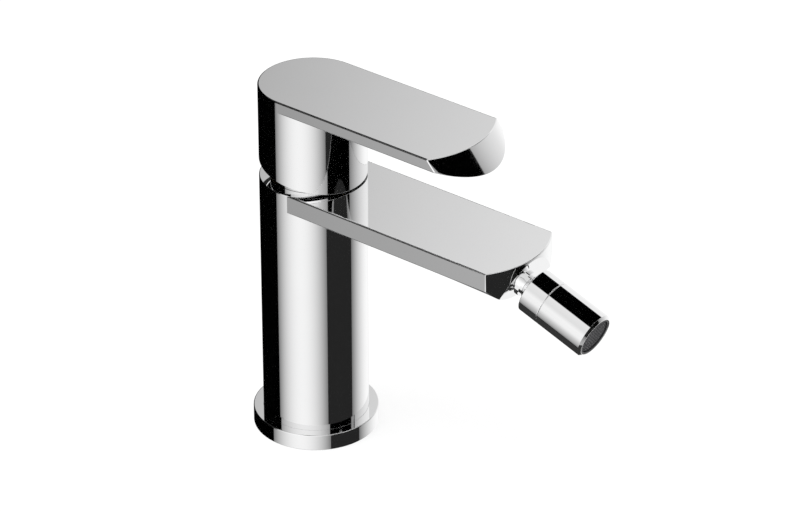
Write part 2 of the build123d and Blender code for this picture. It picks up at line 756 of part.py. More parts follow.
# Lever screw: grub screw with a hexagon socket, its point on the flat of the stem
def make_lever_screw():
    start = stem_square / 2 + foot_round
    screw = rod(screw_radius, start, start + screw_length)
    key = RegularPolygon(screw_socket_radius, 6)
    key_start = start + screw_length - screw_socket_depth
    socket = Pos(0, 0, key_start) * extrude(key, screw_socket_depth + overrun)
    return rearward(screw_height) * (screw - socket)


# Screw plug: plain cap over the hole at the back of the hub
def make_screw_plug():
    plug = rod(plug_radius, body_radius - plug_thickness, body_radius)
    return (rearward(screw_height) * plug) & rod(body_radius - foot_round, 0, lever_top)


os.makedirs("parts", exist_ok=True)
outer_body = body_envelope()
save("base_ring", make_base_ring())
save("base_seal", make_base_seal())
save("body", make_body(outer_body))
save("spout", make_spout(outer_body))
save("cartridge_base", make_cartridge_base())
save("port_seals", make_port_seals())
save("disc_seals", make_disc_seals())
save("fixed_disc", make_fixed_disc())
save("moving_disc", make_moving_disc())
save("disc_carrier", make_disc_carrier())
save("cartridge_housing", make_cartridge_housing())
save("stem_guide", make_stem_guide())
save("limit_ring", make_limit_ring())
save("cartridge_nut", make_cartridge_nut())
save("collar", make_collar())
save("stem", make_stem())
save("stem_pin", make_stem_pin())
save("lever", make_lever())
save("lever_screw", make_lever_screw())
save("screw_plug", make_screw_plug())
save("ball_nipple", make_ball_nipple())
save("nipple_seal", make_nipple_seal())
save("ball_seat", make_ball_seat())
save("swivel_sleeve", make_swivel_sleeve())
save("aerator_housing", make_aerator_housing())
save("flow_regulator", make_flow_regulator())
save("aerator_gasket", make_aerator_gasket())
save("aerator_insert", make_aerator_insert())
save("aerator_mesh", make_aerator_mesh())
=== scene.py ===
from math import cos, radians, sin, sqrt

import bpy
import numpy as np
from mathutils import Matrix, Vector


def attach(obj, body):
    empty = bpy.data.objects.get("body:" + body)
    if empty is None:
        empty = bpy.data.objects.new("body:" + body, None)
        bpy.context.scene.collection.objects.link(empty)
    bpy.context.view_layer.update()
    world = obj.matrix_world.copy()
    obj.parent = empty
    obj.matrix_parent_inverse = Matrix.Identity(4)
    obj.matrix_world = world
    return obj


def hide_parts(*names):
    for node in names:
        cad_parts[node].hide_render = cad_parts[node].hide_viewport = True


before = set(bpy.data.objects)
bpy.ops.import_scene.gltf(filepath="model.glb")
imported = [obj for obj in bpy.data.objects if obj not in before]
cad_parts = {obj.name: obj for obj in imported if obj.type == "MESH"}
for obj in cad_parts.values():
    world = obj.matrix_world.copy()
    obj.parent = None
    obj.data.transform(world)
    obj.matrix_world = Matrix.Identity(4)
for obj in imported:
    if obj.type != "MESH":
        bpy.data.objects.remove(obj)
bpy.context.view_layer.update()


# Base ring
# Turned brass ring that the body stands in, polished and chrome plated.
# It's machined in one clamping, with a groove below for the rubber seal.

class Wire:
    """Output of a shader node. Sums, products and comparisons on it add Math nodes to its tree."""

    def __init__(self, tree, socket=None):
        self.tree, self.socket = tree, socket

    def node(self, kind, settings=None, inputs=None, output=0):
        """Adds one node: its settings first, a ramp's stops among them, then values or links."""
        node = self.tree.nodes.new(kind)
        for name, value in (settings or {}).items():
            if name == "stops":
                ramp = node.color_ramp
                while len(ramp.elements) < len(value):
                    ramp.elements.new(1)
                for element, (place, grey) in zip(ramp.elements, value):
                    element.position, element.color = place, (grey, grey, grey, 1)
            else:
                setattr(node, name, value)
        for name, value in (inputs or {}).items():
            if isinstance(value, Wire):
                self.tree.links.new(value.socket, node.inputs[name])
            else:
                node.inputs[name].default_value = value
        return Wire(self.tree, node.outputs[output])

    def maths(self, operation, *values):
        """Adds a Math node on numbers and wires."""
        return self.node("ShaderNodeMath", {"operation": operation}, dict(enumerate(values)))

    def __add__(self, other):
        return self.maths("ADD", self, other)

    def __radd__(self, other):
        return self.maths("ADD", other, self)

    def __sub__(self, other):
        return self.maths("SUBTRACT", self, other)

    def __rsub__(self, other):
        return self.maths("SUBTRACT", other, self)

    def __mul__(self, other):
        return self.maths("MULTIPLY", self, other)

    def __rmul__(self, other):
        return self.maths("MULTIPLY", other, self)

    def __truediv__(self, other):
        return self.maths("DIVIDE", self, other)

    def __gt__(self, other):
        return self.maths("GREATER_THAN", self, other)

    def __lt__(self, other):
        return self.maths("LESS_THAN", self, other)

    def to(self, shader, name):
        """Links the wire to a socket of a node."""
        self.tree.links.new(self.socket, shader.inputs[name])


def new_material(name):
    """A material, its tree as a wire, and its Principled shader."""
    material = bpy.data.materials.new(name)
    material.use_nodes = True
    tree = material.node_tree
    return material, Wire(tree), tree.nodes["Principled BSDF"]


def metal(name, low, high, roughness, spread, grain, bump):
    """Metal whose colour wanders between two tones and whose roughness wanders by a spread.
    Both follow noise in Object coordinates with a grain of so many cells a metre."""
    finer, bump_depth = 12, 0.0002
    material, wire, shader = new_material(name)
    place = wire.node("ShaderNodeTexCoord", output="Object")
    cloud = wire.node("ShaderNodeTexNoise", inputs={"Vector": place, "Scale": grain, "Detail": 3.0})
    fine = wire.node("ShaderNodeTexNoise", inputs={"Vector": place, "Scale": grain * finer, "Detail": 2.0})
    wire.node("ShaderNodeMix", {"data_type": "RGBA"}, {0: cloud, 6: (*low, 1), 7: (*high, 1)},
              output=2).to(shader, "Base Color")
    (roughness + spread * (fine - 0.5)).to(shader, "Roughness")
    wire.node("ShaderNodeBump", inputs={"Height": fine, "Strength": bump, "Distance": bump_depth}).to(
        shader, "Normal")
    shader.inputs["Metallic"].default_value = 1
    return material


chrome = metal("chrome_plate", (0.93, 0.93, 0.935), (0.96, 0.96, 0.96), 0.035, 0.03, 40, 0.004)


def rolled_edge(edge, first, second, radius, steps=6):
    """Rounded edge between two faces: a ball rolled along it. The ball's centre lies inward by
    radius * (n1 + n2) / (1 + n1.n2), and the strip runs round it from one normal to the other."""
    radius = np.broadcast_to(radius, edge.shape[:-1])[..., None]
    first, second = np.broadcast_to(first, edge.shape), np.broadcast_to(second, edge.shape)
    cosine = np.clip((first * second).sum(-1, keepdims=True), -1, 1)
    centre = edge - radius * (first + second) / (1 + cosine)
    least_turn = 1e-6
    turn = np.maximum(np.arccos(cosine), least_turn)
    share = np.linspace(0, 1, steps).reshape((-1,) + (1,) * edge.ndim)
    normal = (np.sin((1 - share) * turn) * first + np.sin(share * turn) * second) / np.sin(turn)
    return centre + radius * normal, normal


def outline(corners, radii):
    """Runs of a closed outline, anticlockwise in (radius, height): straight runs and rolled corners
    in turn."""
    corners = np.array(corners, float)
    along = np.roll(corners, -1, 0) - corners
    outward = np.stack([along[:, 1], -along[:, 0]], 1) / np.linalg.norm(along, axis=1)[:, None]
    arcs = [rolled_edge(corner, before, after, radius)
            for corner, before, after, radius in zip(corners, np.roll(outward, 1, 0), outward, radii)]
    runs = []
    for number, (points, normals) in enumerate(arcs):
        if radii[number]:
            runs.append((points, normals))
        start, end = points[-1], arcs[(number + 1) % len(arcs)][0][0]
        share = np.linspace(0, 1, 3)[:, None]
        runs.append((start + share * (end - start), np.repeat(outward[number][None], 3, 0)))
    return runs


def turned(runs, origin=(0, 0, 0), axis=(0, 0, 1), count=160):
    """Runs of (radius, height) carried round an axis: origin + height * axis + radius * (e1 cos + e2 sin),
    with e1 and e2 at right angles to the axis and to each other."""
    axis = np.array(axis, float)
    side = np.array((0.0, 1.0, 0.0))
    cross = np.cross(side, axis)
    angle = np.linspace(0, 2 * np.pi, count + 1)[None, :, None]
    round_about = np.cos(angle) * cross + np.sin(angle) * side
    patches = []
    for points, normals in runs:
        radius, height = points[:, None, :1], points[:, None, 1:]
        grid = np.array(origin) + height * axis + radius * round_about
        patches.append((grid, normals[:, None, :1] * round_about + normals[:, None, 1:] * axis))
    return patches


def plated(name, patches, material, body, nodes):
    """Closed mesh of grid patches given in mm with their normals: quads between grid neighbours, each
    patch wound to face along its normals, points merged within 0.1 micron, folded corners dropped."""
    mm_per_metre, merged_within = 1000, 1e-7
    points, normals, quads, start = [], [], [], 0
    for grid, normal in patches:
        rows, columns = grid.shape[:2]
        index = start + np.arange(rows * columns).reshape(rows, columns)
        patch = np.stack([index[:-1, :-1], index[:-1, 1:], index[1:, 1:], index[1:, :-1]], -1)
        facing = np.cross(grid[1:, 1:] - grid[:-1, :-1], grid[1:, :-1] - grid[:-1, 1:])
        normal = np.broadcast_to(normal, grid.shape)
        inward = (facing * normal[:-1, :-1]).sum() < 0
        quads.append(patch.reshape(-1, 4)[:, ::-1] if inward else patch.reshape(-1, 4))
        points.append(grid.reshape(-1, 3))
        normals.append(normal.reshape(-1, 3))
        start += rows * columns
    points, normals, quads = (np.concatenate(parts) for parts in (points, normals, quads))
    points = points / mm_per_metre
    _, first, place = np.unique(np.round(points / merged_within).astype(np.int64), axis=0,
                                return_index=True, return_inverse=True)
    merged = place.reshape(-1)[quads]
    kept = merged != np.roll(merged, -1, axis=1)
    whole = (merged[:, 0] != merged[:, 2]) & (merged[:, 1] != merged[:, 3])
    four, three = whole & (kept.sum(1) == 4), whole & (kept.sum(1) == 3)
    triangles, triangle_corners = merged[three][kept[three]], quads[three][kept[three]]
    faces = merged[four].tolist() + triangles.reshape(-1, 3).tolist()
    mesh = bpy.data.meshes.new(name)
    mesh.from_pydata(points[first].tolist(), [], faces)
    mesh.polygons.foreach_set("use_smooth", [True] * len(faces))
    loops = np.concatenate([quads[four].reshape(-1), triangle_corners.reshape(-1)])
    mesh.normals_split_custom_set(normals[loops].tolist())
    mesh.materials.append(material)
    piece = bpy.data.objects.new(name, mesh)
    bpy.context.scene.collection.objects.link(piece)
    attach(piece, body)
    if nodes:
        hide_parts(*nodes)


ring_radius, ring_height, ring_bore, ring_ledge, body_radius = 27.35, 7.35, 20.4, 3.0, 23.0
groove_inner, groove_outer, groove_depth = 23.2, 25.4, 1.5
ring_seat = body_radius + 0.04
bore_rounding, foot_rounding, top_rounding, seat_rounding = 0.2, 0.15, 0.4, 0.04
ring_outline = outline(
    [(ring_bore, 0), (groove_inner, 0), (groove_inner, groove_depth), (groove_outer, groove_depth),
     (groove_outer, 0), (ring_radius, 0), (ring_radius, ring_height), (ring_seat, ring_height),
     (ring_seat, ring_ledge), (ring_bore, ring_ledge)],
    [bore_rounding, 0, 0, 0, 0, foot_rounding, top_rounding, seat_rounding, 0, bore_rounding])
plated("base_ring_plated", turned(ring_outline, count=240), chrome, "root", ["base_ring"])


# Base seal
# Flat ring of black rubber pressed into the groove under the base ring.
# It's moulded, with a matt skin and a little bloom on it.

def soft_or_moulded(name, low, high, roughness, spread, grain, bump, coat=0.0):
    """Rubber, plastic or ceramic: colour and roughness follow noise, and a finer noise bumps the skin."""
    finer, bump_depth = 9, 0.0002
    material, wire, shader = new_material(name)
    place = wire.node("ShaderNodeTexCoord", output="Object")
    cloud = wire.node("ShaderNodeTexNoise", inputs={"Vector": place, "Scale": grain, "Detail": 4.0})
    fine = wire.node("ShaderNodeTexNoise", inputs={"Vector": place, "Scale": grain * finer, "Detail": 3.0})
    wire.node("ShaderNodeMix", {"data_type": "RGBA"}, {0: cloud, 6: (*low, 1), 7: (*high, 1)},
              output=2).to(shader, "Base Color")
    (roughness + spread * (cloud - 0.5)).to(shader, "Roughness")
    wire.node("ShaderNodeBump", inputs={"Height": fine, "Strength": bump, "Distance": bump_depth}).to(
        shader, "Normal")
    shader.inputs["Coat Weight"].default_value = coat
    return material


def dress(material, *nodes):
    """Gives carried-over pieces their material."""
    for node in nodes:
        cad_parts[node].data.materials.clear()
        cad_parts[node].data.materials.append(material)


dress(soft_or_moulded("black_rubber_skin", (0.012, 0.012, 0.012), (0.03, 0.03, 0.029),
                      0.75, 0.2, 300, 0.3),
      "base_seal")


# Body
# Cast brass tube with a floor for the cartridge, bored and threaded, then polished and plated outside.
# The inside stays raw casting; the plating is a skin of its own over the wall and the top.

raw_cast = metal("raw_casting", (0.36, 0.24, 0.11), (0.62, 0.45, 0.22), 0.42, 0.2, 160, 0.35)
dress(raw_cast, "body")

body_top, skin = 121.8, 0.01
UP = np.array((0.0, 0.0, 1.0))


def eased(share):
    """Smooth step of a share: s * s * (3 - 2 s), held at 0 and 1 outside them."""
    share = np.clip(share, 0, 1)
    return share * share * (3 - 2 * share)


def body_plating(columns=320):
    """Skin round the body: up the wall, over a rounded edge and in across the top. The edge's radius
    fades to nothing where the spout's top joins the body's, within a sector about the X axis."""
    spout_sector, fade, sharp, rounded = radians(79.3), radians(1.5), 0.01, 0.4
    radius, top, inner, low = body_radius + skin, body_top + skin, 18.4, 3.2
    wall_depth, lip_depth, shoulder_depth = 0.15, 0.1, 0.5
    angle = np.linspace(-np.pi, np.pi, columns + 1)
    rounding = sharp + (rounded - sharp) * eased((np.abs(angle) - spout_sector) / fade)
    out = np.stack([np.cos(angle), np.sin(angle), 0 * angle], 1)
    rim = radius * out + top * UP
    arc, arc_normals = rolled_edge(rim, out, UP, rounding)
    share = np.linspace(0, 1, 4)[:, None, None]
    foot = radius * out + low * UP
    lip = inner * out + top * UP
    wall = foot + share * (arc[0] - foot)
    roof = arc[-1] + share * (lip - arc[-1])
    lip_below = inner * out + (top - lip_depth) * UP
    shoulder = (radius - wall_depth) * out + (top - shoulder_depth) * UP
    foot_inside = (radius - wall_depth) * out + low * UP
    backs = [(lip, lip_below, -out), (lip_below, shoulder, -UP), (shoulder, foot_inside, -out),
             (foot_inside, foot, -UP)]
    patches = [(wall, out), (arc, arc_normals), (roof, UP)]
    return patches + [(a + share * (b - a), normal) for a, b, normal in backs]


plated("body_plated", body_plating(), chrome, "root", [])


# Spout
# Cast with the body and polished with it: flat on top, crowned below, its end cut by a slanted facet.
# The facet carries the ball nipple. All of it is chrome plated.

def spanned(first, last, start, end):
    """Grid inside four edges: the sum of the two ruled surfaces between facing edges, less the one
    through the four corners. Rows run from first to last, columns from start to end."""
    down = np.linspace(0, 1, len(start))[:, None, None]
    across = np.linspace(0, 1, len(first))[None, :, None]
    rows = (1 - down) * first[None] + down * last[None]
    columns = (1 - across) * start[:, None] + across * end[:, None]
    corners = ((1 - down) * ((1 - across) * first[0] + across * first[-1])
               + down * ((1 - across) * last[0] + across * last[-1]))
    return rows + columns - corners


def arc_radius(half_width, rise):
    """Radius of the arc that spans twice a half width and rises this far: (w * w + r * r) / 2 r."""
    return (half_width ** 2 + rise ** 2) / (2 * rise)


def arc_drop(y, half_width, crown):
    """How far below its ends an arc of this crown lies at y."""
    radius = arc_radius(half_width, crown)
    return np.sqrt(radius ** 2 - y ** 2) - (radius - crown)


def unit(vectors):
    """Vectors brought to length 1."""
    return vectors / np.linalg.norm(vectors, axis=-1, keepdims=True)


def mirrored(points):
    """The same line of points on the other side of the XZ plane, in reverse."""
    return points[::-1] * (1, -1, 1)


nozzle_angle = radians(18.92)
nozzle_axis = np.array((cos(nozzle_angle), 0, -sin(nozzle_angle)))
spout_half, spout_side, spout_corner, spout_bulge = 22.6, 8.2, 109.0, 7.4
crown_at_axis, crown_growth, crown_length = 2.4, 8.2, spout_corner + spout_bulge + 2
spout_low = body_top - spout_side
facet_set_out, facet_depth = 3.27, 12.95
facet_reach = np.array((spout_corner + facet_set_out, 0, body_top - facet_depth)) @ nozzle_axis


def spout_crown(x):
    """Crown of the underside, which grows straight along the spout."""
    return crown_at_axis + crown_growth * x / crown_length


def spout_underside(x, y):
    """Height of the underside: the arc of its crown hung from the lower edges of the sides."""
    return spout_low - arc_drop(y, spout_half, spout_crown(x))


def underside_normal(x, y):
    """Downward normal of the underside: its slopes by small steps along X and Y."""
    step = 1e-3
    along = (spout_underside(x + step, y) - spout_underside(x - step, y)) / (2 * step)
    across = (spout_underside(x, y + step) - spout_underside(x, y - step)) / (2 * step)
    return unit(np.stack([along, across, 0 * along - 1], -1))


def facet_x(z):
    """Where the facet's plane lies at a height."""
    return (facet_reach + sin(nozzle_angle) * z) / cos(nozzle_angle)


def facet_z(x):
    """Height of the facet's plane at x."""
    return (x * cos(nozzle_angle) - facet_reach) / sin(nozzle_angle)


def spout_end(y):
    """Reach of the rounded end at y: an arc through both corners that bulges forward."""
    radius = arc_radius(spout_half, spout_bulge)
    return spout_corner + spout_bulge - radius + np.sqrt(radius ** 2 - y ** 2)


def facet_half_width():
    """Half the facet's width: where its plane, the rounded end and the underside meet, by halving."""
    halvings = 60
    near, far = 0.0, spout_half
    for _ in range(halvings):
        middle = (near + far) / 2
        x = spout_end(middle)
        near, far = (middle, far) if facet_z(x) > spout_underside(x, middle) else (near, middle)
    return near


def spout_shell():
    """Walls, rounded edges, top, underside and facet of the spout, each patch sharing its edges. The
    lower edge's radius fades out at the body and at the ends of the facet, where three faces meet."""
    corner_edge, top_edge_radius, low_edge_radius = 0.4, 0.55, 0.5
    root_fade, facet_fade, tip_margin, sunk, slack = 6.0, 1.2, 1.0, 0.12, 1e-6
    repeats = 40
    facet_half = facet_half_width()
    root_x = sqrt(body_radius ** 2 - spout_half ** 2)
    end_radius = arc_radius(spout_half, spout_bulge)
    corner = np.array((spout_corner, -spout_half, 0))
    tip_normal = unit(np.array((sqrt(end_radius ** 2 - spout_half ** 2), -spout_half, 0)))
    corner_arc, corner_normals = rolled_edge(corner, np.array((0, -1.0, 0)), tip_normal, corner_edge, 7)
    side_x = np.linspace(root_x, corner_arc[0, 0], 41)[:-1]
    side = np.stack([side_x, 0 * side_x - spout_half, 0 * side_x], 1)
    outer_y = np.linspace(corner_arc[-1, 1], -facet_half, 16)
    middle_y = np.linspace(-facet_half, facet_half, 61)
    tip_y = np.concatenate([outer_y[1:], middle_y[1:-1], -outer_y[::-1][:-1]])
    tip = np.stack([spout_end(tip_y), tip_y, 0 * tip_y], 1)
    tip_normals = unit(np.stack([np.sqrt(end_radius ** 2 - tip_y ** 2), tip_y, 0 * tip_y], 1))
    half = np.concatenate([side, corner_arc])
    half_normals = np.concatenate([np.repeat([(0, -1.0, 0)], len(side), 0), corner_normals])
    line = np.concatenate([half, tip, mirrored(half)])
    walls = np.concatenate([half_normals, tip_normals, mirrored(half_normals)])
    x, y = line[:, 0], line[:, 1]
    top_edge, top_normals = rolled_edge(line + body_top * UP, UP, walls, top_edge_radius)

    on_facet = (np.abs(y) < facet_half + slack) & (x > spout_corner)
    low_z = np.where(on_facet, facet_z(x), spout_underside(x, y))
    low_normals = np.where(on_facet[:, None], nozzle_axis, underside_normal(x, y))
    fade = eased((x - root_x) / root_fade)
    fade_at_facet = eased(np.abs(np.abs(y) - facet_half) / facet_fade)
    fade = np.where(x < spout_corner - tip_margin, fade, fade * fade_at_facet)
    low_edge, low_edge_normals = rolled_edge(line + low_z[:, None] * UP, walls, low_normals,
                                             low_edge_radius * fade)
    share = np.linspace(0, 1, 7)[:, None, None]
    wall = top_edge[-1] + share * (low_edge[0] - top_edge[-1])
    patches = [(top_edge, top_normals), (wall, walls), (low_edge, low_edge_normals)]

    ends = np.flatnonzero(on_facet)
    span = slice(ends[0], ends[-1] + 1)
    lip_y = y[span]
    lip_x = spout_end(lip_y)
    for _ in range(repeats):
        lip_x = facet_x(spout_underside(lip_x, lip_y))
    lip_x[[0, -1]] = x[span][[0, -1]]
    lip_z = spout_underside(lip_x, lip_y)
    lip_fade = eased((facet_half - np.abs(lip_y)) / facet_fade)
    lip, lip_normals = rolled_edge(np.stack([lip_x, lip_y, lip_z], 1), nozzle_axis,
                                   underside_normal(lip_x, lip_y), low_edge_radius * lip_fade)
    facet = low_edge[-1, span] + np.linspace(0, 1, 15)[:, None, None] * (lip[0] - low_edge[-1, span])
    patches += [(facet, nozzle_axis), (lip, lip_normals)]

    under_end = low_edge[-1].copy()
    under_end[span] = lip[-1]
    count = len(side)
    root_y = under_end[count - 1:-count + 1, 1] * spout_half / abs(under_end[count - 1, 1])
    inside = body_radius - sunk
    under_root_x = np.sqrt(inside ** 2 - root_y ** 2)
    under_root = np.stack([under_root_x, root_y, spout_underside(under_root_x, root_y)], 1)
    under_root[[0, -1]] = under_end[[0, -1]]
    across_end = under_end[count - 1:-count + 1]
    side_near, side_far = under_end[:count], under_end[-count:][::-1]
    under = spanned(under_root, across_end, side_near, side_far)
    under[1:-1, 1:-1, 2] = spout_underside(under[1:-1, 1:-1, 0], under[1:-1, 1:-1, 1])
    patches.append((under, underside_normal(under[..., 0], under[..., 1])))

    top = top_edge[0]
    across_top = top[count - 1:-count + 1]
    top_root_y = across_top[:, 1] * abs(top[0, 1]) / abs(across_top[0, 1])
    top_root = np.stack([np.sqrt(body_radius ** 2 - top_root_y ** 2), top_root_y,
                         0 * top_root_y + body_top], 1)
    top_root[[0, -1]] = top[[0, -1]]
    patches.append((spanned(top_root, across_top, top[:count], top[-count:][::-1]), UP))

    near_end = np.concatenate([top_edge[:, 0], wall[1:, 0], low_edge[1:, 0]])
    far_end = np.concatenate([top_edge[:, -1], wall[1:, -1], low_edge[1:, -1]])
    patches.append((spanned(top_root, under_root, near_end, far_end), np.array((-1.0, 0, 0))))
    return patches


plated("spout_plated", spout_shell(), chrome, "root", ["spout"])


# Cartridge
# Ceramic cartridge as it's bought in: moulded foot, two ceramic discs, carrier, guide and housing.
# Its rubber seals sit in the foot, and a coloured ring on top limits the hot side.

seal_rubber = soft_or_moulded("seal_rubber_skin", (0.02, 0.02, 0.021), (0.045, 0.045, 0.045),
                              0.6, 0.2, 500, 0.2)
dress(seal_rubber, "port_seals", "disc_seals")
grey_plastic = soft_or_moulded("grey_moulding", (0.28, 0.29, 0.30), (0.36, 0.37, 0.38),
                               0.45, 0.15, 220, 0.12)
dress(grey_plastic, "cartridge_base")
white_plastic = soft_or_moulded("white_moulding", (0.74, 0.74, 0.72), (0.82, 0.82, 0.80),
                                0.4, 0.12, 220, 0.1)
dress(white_plastic, "cartridge_housing")
black_plastic = soft_or_moulded("black_moulding", (0.018, 0.018, 0.02), (0.04, 0.04, 0.042),
                                0.42, 0.15, 260, 0.15)
dress(black_plastic, "stem_guide", "disc_carrier")
dress(soft_or_moulded("disc_ceramic_lapped", (0.80, 0.79, 0.76), (0.88, 0.87, 0.85),
                      0.22, 0.08, 900, 0.02, 0.2),
      "fixed_disc", "moving_disc")
dress(soft_or_moulded("red_moulding", (0.42, 0.02, 0.015), (0.58, 0.04, 0.03), 0.4, 0.15, 240, 0.12),
      "limit_ring")


# Cartridge nut, stem and pin
# Turned parts inside the hub: a brass nut clamps the cartridge, the brass stem tilts on a steel pin.
# The nut and stem are raw turned brass, with the lathe's fine lines on them.

turned_brass = metal("turned_brass", (0.60, 0.42, 0.18), (0.78, 0.60, 0.30), 0.28, 0.14, 260, 0.12)
dress(turned_brass, "cartridge_nut", "stem")
steel = metal("bright_steel", (0.50, 0.50, 0.51), (0.64, 0.64, 0.65), 0.26, 0.12, 420, 0.08)
dress(steel, "stem_pin", "lever_screw")


# Collar
# Spun brass cover between body and hub, domed on top, pushed over the nut's spigot.
# It's polished and chrome plated like the body.

collar_radius, collar_wall, collar_shoulder, collar_top, collar_mouth = 18.2, 1.3, 128.3, 132.9, 13.5


def dome(radius, top, shoulder, start, end, steps=14):
    """Arc of a dome through its top and its shoulder, from one radius to another, with its normals."""
    big = arc_radius(radius, top - shoulder)
    at = np.linspace(start, end, steps)
    points = np.stack([at, top - big + np.sqrt(big ** 2 - at ** 2)], 1)
    return points, unit(points - (0, top - big))


def straight(start, end):
    """Straight run between two points of an outline, with its outward normal on the right."""
    start, end = np.array(start, float), np.array(end, float)
    along = end - start
    share = np.linspace(0, 1, 3)[:, None]
    return start + share * along, np.repeat(unit(np.array([[along[1], -along[0]]])), 3, 0)


def collar_runs():
    """Outline of the collar: wall, rounded shoulder, dome, lip, and the same inside."""
    shoulder_edge, clearance = 0.8, 0.03
    edge, slope = dome(collar_radius, collar_top, collar_shoulder, collar_radius, collar_mouth)
    shoulder, shoulder_normals = rolled_edge(edge[0], np.array((1.0, 0)), slope[0], shoulder_edge)
    outer, outer_normals = dome(collar_radius, collar_top, collar_shoulder, shoulder[-1, 0], collar_mouth)
    outer[0] = shoulder[-1]
    within = collar_radius - collar_wall
    inner, inner_normals = dome(within, collar_top - collar_wall, collar_shoulder, collar_mouth, within)
    low = body_top + clearance
    return [straight((collar_radius, low), shoulder[0]), (shoulder, shoulder_normals),
            (outer, outer_normals), straight(outer[-1], inner[0]), (inner, -inner_normals),
            straight(inner[-1], (within, low)), straight((within, low), (collar_radius, low))]


plated("collar_plated", turned(collar_runs()), chrome, "root", ["collar"])


# Lever
# Hub and plate in one zinc casting, polished and chrome plated. The plate's underside is crowned and
# its tip leans out as it drops; the hub is hollow, its bottom cut at a slant so that it can tilt back.

lever_top, lever_half, lever_corner, lever_bulge = 164.7, 23.0, 79.2, 7.3
lever_side, lever_crown, tip_lean, tip_middle_lean, lever_edge = 5.0, 4.8, 0.705, 0.87, 0.6
hub_bottom, hub_slope, hub_inner, hub_ceiling = 126.7, 0.1872, 20.2, 156.0
boss_radius, boss_bottom, socket_radius, socket_top = 8.6, 134.0, 5.7, 152.2
plug_height, plug_radius, plug_field, plug_seat_x = 141.0, 3.42, 6.0, -20.5


def lever_tip(y, drop):
    """Reach of the tip at y and at a drop below the top: an arc whose corners and middle lean out."""
    corner = lever_corner + tip_lean * drop
    bulge = lever_bulge + (tip_middle_lean - tip_lean) * drop
    radius = arc_radius(lever_half, bulge)
    return corner + bulge - radius + np.sqrt(radius ** 2 - y ** 2)


def lever_drop(y):
    """Depth of the plate's underside below the top."""
    return lever_side + arc_drop(y, lever_half, lever_crown)


def lever_under_normal(y):
    """Downward normal of the plate's underside: its slope by a small step across."""
    step = 1e-3
    slope = (lever_drop(y + step) - lever_drop(y - step)) / (2 * step)
    return unit(np.stack([0 * slope, -slope, 0 * slope - 1], -1))


def lever_ring(at_bottom):
    """Plan outline of the plate from one side of the hub round the tip to the other, either along its
    top or along the edge of its underside, with the normals of its walls."""
    base = lever_side if at_bottom else 0.0
    step, corner_edge, tip_margin = 1e-3, 0.55, 1.0
    corner = np.array((lever_tip(lever_half, base), -lever_half, 0))
    slope = (lever_tip(lever_half, base) - lever_tip(lever_half - step, base)) / step
    tip_out = unit(np.array((1, slope, 0)))
    corner_arc, corner_out = rolled_edge(corner, np.array((0, -1.0, 0)), tip_out, corner_edge, 9)
    side_x = np.linspace(0, 1, 49)[:-1] * corner_arc[0, 0]
    side = np.stack([side_x, 0 * side_x - lever_half, 0 * side_x], 1)
    tip_y = np.linspace(corner_arc[-1, 1], -corner_arc[-1, 1], 91)[1:-1]
    tip = np.stack([lever_tip(tip_y, base), tip_y, 0 * tip_y], 1)
    slope = (lever_tip(tip_y + step, base) - lever_tip(tip_y - step, base)) / (2 * step)
    tip_normals = unit(np.stack([0 * slope + 1, -slope, 0 * slope], 1))
    half = np.concatenate([side, corner_arc])
    half_out = np.concatenate([np.repeat([(0, -1.0, 0)], len(side), 0), corner_out])
    line = np.concatenate([half, tip, mirrored(half)])
    out = np.concatenate([half_out, tip_normals, mirrored(half_out)])
    x, y = line[:, 0], line[:, 1]
    drop = lever_drop(y) if at_bottom else 0 * y
    lean = (lever_tip(y, drop + step) - lever_tip(y, drop)) / step
    at_tip = x > lever_corner - tip_margin
    if at_bottom:
        line[:, 0] += np.where(at_tip, lever_tip(y, drop) - lever_tip(y, base), 0)
    line[:, 2] = lever_top - drop
    out[:, 2] = np.where(at_tip, lean * out[:, 0], 0)
    return line, unit(out), len(side)


def plate_patches():
    """Plate of the lever: rounded top edge, walls, rounded lower edge, top and underside. The lower
    edge's radius fades out at the hub, and is smaller at the tip, away from its corners."""
    side_edge, tip_edge, root_fade, corner_fade = 0.5, 0.15, 6, 4
    line, out, count = lever_ring(False)
    low_line, low_out, _ = lever_ring(True)
    top_edge, top_normals = rolled_edge(line, UP, out, lever_edge, 8)
    at_tip = (low_line[:, 0] > lever_corner) * eased((lever_half - np.abs(low_line[:, 1])) / corner_fade)
    rounding = eased(low_line[:, 0] / root_fade) * (side_edge - (side_edge - tip_edge) * at_tip)
    low_edge, low_normals = rolled_edge(low_line, low_out, lever_under_normal(low_line[:, 1]), rounding)
    share = np.linspace(0, 1, 9)[:, None, None]
    wall = top_edge[-1] + share * (low_edge[0] - top_edge[-1])
    wall_normals = unit(out + share * (low_out - out))
    top = top_edge[0]
    across = top[count - 1:-count + 1]
    root = across * (0, abs(top[0, 1]) / abs(across[0, 1]), 0) + lever_top * UP
    root[[0, -1]] = top[[0, -1]]
    cap = spanned(root, across, top[:count], top[-count:][::-1])
    low = low_edge[-1]
    low_across = low[count - 1:-count + 1]
    hub_y = low_across[:, 1] * lever_half / abs(low_across[0, 1])
    hub_line = np.stack([np.sqrt(np.maximum(lever_half ** 2 - hub_y ** 2, 0)), hub_y,
                         lever_top - lever_drop(hub_y)], 1)
    hub_line[[0, -1]] = low[[0, -1]]
    under = spanned(hub_line, low_across, low[:count], low[-count:][::-1])
    under[1:-1, 1:-1, 2] = lever_top - lever_drop(under[1:-1, 1:-1, 1])
    patches = [(top_edge, top_normals), (wall, wall_normals), (low_edge, low_normals), (cap, UP),
               (under, lever_under_normal(under[..., 1]))]
    return patches, root, hub_line, wall[:, 0]


